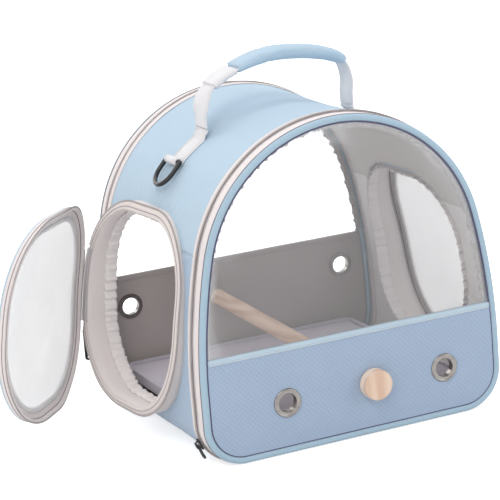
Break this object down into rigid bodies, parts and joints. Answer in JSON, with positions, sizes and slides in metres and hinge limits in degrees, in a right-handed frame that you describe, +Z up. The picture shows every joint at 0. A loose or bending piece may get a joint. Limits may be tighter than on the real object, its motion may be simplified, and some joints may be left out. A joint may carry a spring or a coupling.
{
  "type": "bird travel carrier",
  "caption": "Soft arched travel carrier for a small bird, with clear front and back panels, zipped side doors, perch, tray and carry handle.",
  "frame": {"origin": "middle of the base, on the floor", "axes": "+X to the right seen from the front, +Y to the back, +Z up"},
  "size_m": [0.4857, 0.2688, 0.3441],
  "materials": {
    "cloth": "matte",
    "cloth_top": "matte",
    "tape": "matte",
    "lining": "matte",
    "board": "matte",
    "clear": "gloss",
    "wire": "satin",
    "eyelet": "satin",
    "wood": "satin",
    "webbing": "matte",
    "gather": "satin",
    "tray": "satin",
    "mat": "matte",
    "black_metal": "satin",
    "black_rubber": "matte"
  },
  "bodies": {
    "body": {"roof_cover": "cloth_top", "roof_lining": "lining", "left_wall_cover": "cloth", "left_wall_lining": "lining", "right_wall_cover": "cloth", "right_wall_lining": "lining", "base_cover": "cloth", "base_board": "lining", "front_zip_track": "tape", "back_zip_track": "tape", "left_door_ring": "tape", "left_ring_gather": "gather", "right_door_ring": "tape", "right_ring_gather": "gather", "left_hinge_tape": "cloth", "right_hinge_tape": "cloth", "left_strap": "webbing", "right_strap": "webbing"},
    "front_panel": {"front_piping": "cloth", "front_arch_wire": "wire", "front_panel_cover": "cloth", "front_panel_board": "board", "front_panel_lining": "lining", "front_window": "clear", "front_window_binding": "cloth_top", "front_rim_tape": "tape", "front_eyelets": "eyelet", "perch": "wood", "perch_bolt": "wire", "perch_washer": "wire"},
    "knob": {"knob": "wood"},
    "back_panel": {"back_piping": "cloth", "back_arch_wire": "wire", "back_panel_cover": "cloth", "back_panel_board": "board", "back_panel_lining": "lining", "back_window": "clear", "back_window_binding": "cloth_top", "back_rim_tape": "tape", "back_eyelets": "eyelet"},
    "left_door": {"left_door_rim": "tape", "left_door_window": "clear"},
    "right_door": {"right_door_rim": "tape", "right_door_window": "clear"},
    "left_d_ring": {"left_d_ring": "black_metal"},
    "right_d_ring": {"right_d_ring": "black_metal"},
    "handle": {"handle_webbing": "webbing", "handle_grip": "cloth_top", "handle_keeper": "webbing"},
    "tray": {"tray": "tray", "tray_mat": "mat"},
    "front_slider": {"front_slider": "black_metal"},
    "front_pull": {"front_pull": "black_rubber"},
    "back_slider": {"back_slider": "black_metal"},
    "back_pull": {"back_pull": "black_rubber"},
    "left_door_slider": {"left_door_slider": "black_metal"},
    "left_door_pull": {"left_door_pull": "black_rubber"},
    "right_door_slider": {"right_door_slider": "black_metal"},
    "right_door_pull": {"right_door_pull": "black_rubber"}
  },
  "joints": [
    {"name": "front_panel_hinge", "type": "hinge", "parent": "body", "child": "front_panel", "pos_m": [0, -0.1259, 0.0031], "axis": [1, 0, 0], "range_deg": [0, 74]},
    {"name": "back_panel_hinge", "type": "hinge", "parent": "body", "child": "back_panel", "pos_m": [0, 0.1259, 0.0031], "axis": [-1, 0, 0], "range_deg": [0, 82]},
    {"name": "left_door_hinge", "type": "hinge", "parent": "body", "child": "left_door", "pos_m": [-0.17541, 0.09936, 0.10551], "axis": [0.0626, 0.0055, 0.998], "range_deg": [-90, 45]},
    {"name": "right_door_hinge", "type": "hinge", "parent": "body", "child": "right_door", "pos_m": [0.17541, 0.09936, 0.10551], "axis": [-0.0626, 0.0055, 0.998], "range_deg": [0, 135]},
    {"name": "knob_turn", "type": "hinge", "parent": "front_panel", "child": "knob", "pos_m": [0.017, -0.134, 0.048], "axis": [0, -1, 0], "continuous": true},
    {"name": "left_d_ring_hinge", "type": "hinge", "parent": "body", "child": "left_d_ring", "pos_m": [-0.10591, 0, 0.2536], "axis": [0, 1, 0], "range_deg": [0, 120]},
    {"name": "right_d_ring_hinge", "type": "hinge", "parent": "body", "child": "right_d_ring", "pos_m": [0.10591, 0, 0.2536], "axis": [0, -1, 0], "range_deg": [0, 120]},
    {"name": "handle_fold", "type": "hinge", "parent": "body", "child": "handle", "pos_m": [0, 0, 0.29162], "axis": [1, 0, 0], "range_deg": [-62, 62], "stiffness_Nm_per_rad": 0.02},
    {"name": "tray_slide", "type": "slide", "parent": "body", "child": "tray", "axis": [1, 0, 0], "range_m": [-0.008, 0.02]},
    {"name": "front_slider_run", "type": "hinge", "parent": "body", "child": "front_slider", "pos_m": [-0.112, -0.11, 0.038], "axis": [0, 1, 0], "range_deg": [0, 20]},
    {"name": "front_pull_hinge", "type": "hinge", "parent": "front_slider", "child": "front_pull", "pos_m": [-0.15156, -0.11, 0.02039], "axis": [0, 1, 0], "range_deg": [0, 110]},
    {"name": "back_slider_run", "type": "hinge", "parent": "body", "child": "back_slider", "pos_m": [0.112, 0.11, 0.038], "axis": [0, -1, 0], "range_deg": [0, 20]},
    {"name": "back_pull_hinge", "type": "hinge", "parent": "back_slider", "child": "back_pull", "pos_m": [0.15156, 0.11, 0.02039], "axis": [0, -1, 0], "range_deg": [0, 110]},
    {"name": "left_door_slider_run", "type": "hinge", "parent": "body", "child": "left_door_slider", "pos_m": [-0.16504, 0.02599, 0.09725], "axis": [-0.9942, -0.087, 0.0628], "range_deg": [0, 55]},
    {"name": "left_door_pull_hinge", "type": "hinge", "parent": "left_door_slider", "child": "left_door_pull", "pos_m": [-0.1726, 0.10083, 0.08129], "axis": [0.9942, 0.087, -0.0628], "range_deg": [0, 100]},
    {"name": "right_door_slider_run", "type": "hinge", "parent": "body", "child": "right_door_slider", "pos_m": [0.16504, 0.02599, 0.09725], "axis": [-0.9942, 0.087, -0.0628], "range_deg": [0, 55]},
    {"name": "right_door_pull_hinge", "type": "hinge", "parent": "right_door_slider", "child": "right_door_pull", "pos_m": [0.1726, 0.10083, 0.08129], "axis": [0.9942, -0.087, 0.0628], "range_deg": [0, 100]}
  ]
}
